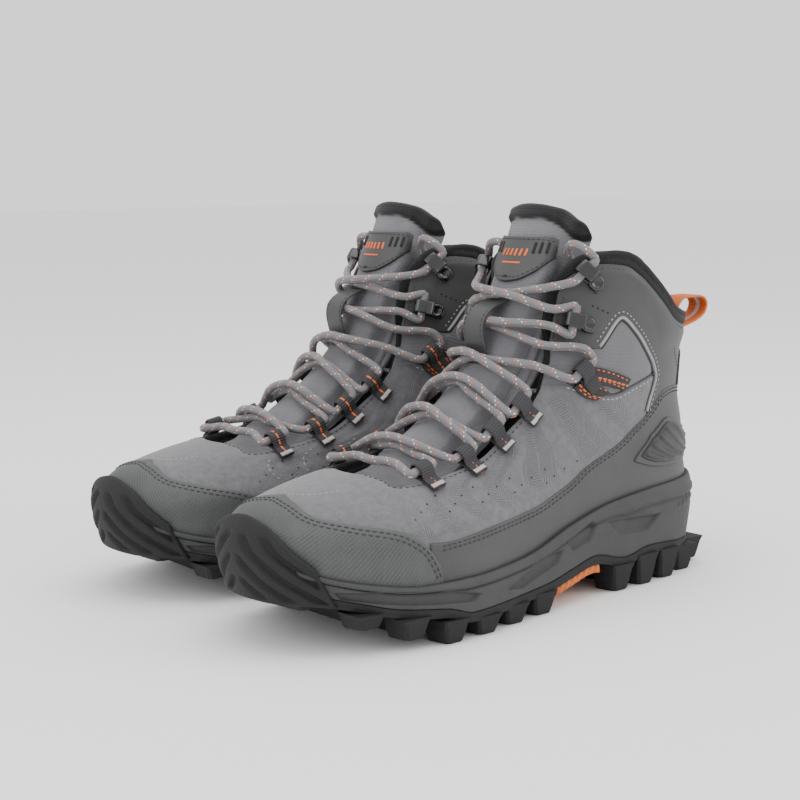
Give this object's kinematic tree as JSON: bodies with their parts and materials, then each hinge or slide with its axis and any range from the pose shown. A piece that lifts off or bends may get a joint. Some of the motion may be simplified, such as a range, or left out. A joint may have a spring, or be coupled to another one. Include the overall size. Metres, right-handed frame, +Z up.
{
  "type": "pair of hiking boots",
  "caption": "Pair of mid-height lace-up hiking boots with suede upper, rubber toe bumper, lugged outsole, webbing lace loops, speed hooks, padded collar, padded tongue and heel pull",
  "frame": {"origin": "ground under the middle of the pair's bounding box", "axes": "+Z up, toes along -Y, the wearer's left boot on +X, the right boot on -X"},
  "size_m": [0.235, 0.3107, 0.1943],
  "materials": {
    "suede": "suede nap",
    "toe_leather": "fine hatched grain",
    "smooth_leather": "smooth matte",
    "textile": "ripstop weave",
    "lining_fabric": "brushed fleece",
    "grey_webbing": "ribbed webbing",
    "lace_cord": "round braid",
    "orange_webbing": "flat webbing",
    "midsole_foam": "moulded foam",
    "outsole_rubber": "matte rubber",
    "orange_tpu": "moulded",
    "black_tpu": "moulded",
    "black_gloss": "polished",
    "fibreboard": "pressed fibre"
  },
  "bodies": {
    "left_boot": {"left_outsole": "outsole_rubber", "left_arch_plate": "orange_tpu", "left_midsole": "midsole_foam", "left_lasting_board": "fibreboard", "left_suede_upper": "suede", "left_toe_cap": "toe_leather", "left_rand": "smooth_leather", "left_heel_counter": "fibreboard", "left_cuff": "smooth_leather", "left_ankle_panel_lateral": "textile", "left_ankle_panel_medial": "textile", "left_collar_lining": "lining_fabric", "left_heel_clip": "black_tpu", "left_tongue": "textile", "left_lace_keeper": "smooth_leather", "left_lace": "lace_cord", "left_webbing_lateral": "grey_webbing", "left_webbing_medial": "grey_webbing", "left_hook_low_lateral": "black_gloss", "left_rivet_low_lateral": "black_gloss", "left_hook_top_lateral": "black_gloss", "left_rivet_top_lateral": "black_gloss", "left_hook_low_medial": "black_gloss", "left_rivet_low_medial": "black_gloss", "left_hook_top_medial": "black_gloss", "left_rivet_top_medial": "black_gloss"},
    "left_tongue_top": {"left_tongue_flap": "textile", "left_tongue_badge": "smooth_leather"},
    "left_heel_pull": {"left_pull_loop": "orange_webbing"},
    "left_footbed": {"left_insole": "lining_fabric"},
    "right_boot": {"right_outsole": "outsole_rubber", "right_arch_plate": "orange_tpu", "right_midsole": "midsole_foam", "right_lasting_board": "fibreboard", "right_suede_upper": "suede", "right_toe_cap": "toe_leather", "right_rand": "smooth_leather", "right_heel_counter": "fibreboard", "right_cuff": "smooth_leather", "right_ankle_panel_lateral": "textile", "right_ankle_panel_medial": "textile", "right_collar_lining": "lining_fabric", "right_heel_clip": "black_tpu", "right_tongue": "textile", "right_lace_keeper": "smooth_leather", "right_lace": "lace_cord", "right_webbing_lateral": "grey_webbing", "right_webbing_medial": "grey_webbing", "right_hook_low_lateral": "black_gloss", "right_rivet_low_lateral": "black_gloss", "right_hook_top_lateral": "black_gloss", "right_rivet_top_lateral": "black_gloss", "right_hook_low_medial": "black_gloss", "right_rivet_low_medial": "black_gloss", "right_hook_top_medial": "black_gloss", "right_rivet_top_medial": "black_gloss"},
    "right_tongue_top": {"right_tongue_flap": "textile", "right_tongue_badge": "smooth_leather"},
    "right_heel_pull": {"right_pull_loop": "orange_webbing"},
    "right_footbed": {"right_insole": "lining_fabric"}
  },
  "joints": [
    {"name": "left_tongue_fold", "type": "hinge", "parent": "left_boot", "child": "left_tongue_top", "pos_m": [0.05723, 0.00665, 0.152], "axis": [0.9998, 0.0218, 0], "range_deg": [0, 22]},
    {"name": "left_pull_swing", "type": "hinge", "parent": "left_boot", "child": "left_heel_pull", "pos_m": [0.05455, 0.12962, 0.129], "axis": [0.9998, 0.0218, 0], "range_deg": [-12, 12]},
    {"name": "left_insole_lift", "type": "hinge", "parent": "left_boot", "child": "left_footbed", "pos_m": [0.06044, -0.14032, 0.036], "axis": [0.9998, 0.0218, 0], "range_deg": [0, 5]},
    {"name": "right_tongue_fold", "type": "hinge", "parent": "right_boot", "child": "right_tongue_top", "pos_m": [-0.05723, 0.00665, 0.152], "axis": [0.9998, -0.0218, 0], "range_deg": [0, 22]},
    {"name": "right_pull_swing", "type": "hinge", "parent": "right_boot", "child": "right_heel_pull", "pos_m": [-0.05455, 0.12962, 0.129], "axis": [0.9998, -0.0218, 0], "range_deg": [-12, 12]},
    {"name": "right_insole_lift", "type": "hinge", "parent": "right_boot", "child": "right_footbed", "pos_m": [-0.06044, -0.14032, 0.036], "axis": [0.9998, -0.0218, 0], "range_deg": [0, 5]},
    {"name": "right_boot_lift", "type": "slide", "parent": "left_boot", "child": "right_boot", "axis": [0, 0, 1], "range_m": [0, 0.25]}
  ]
}
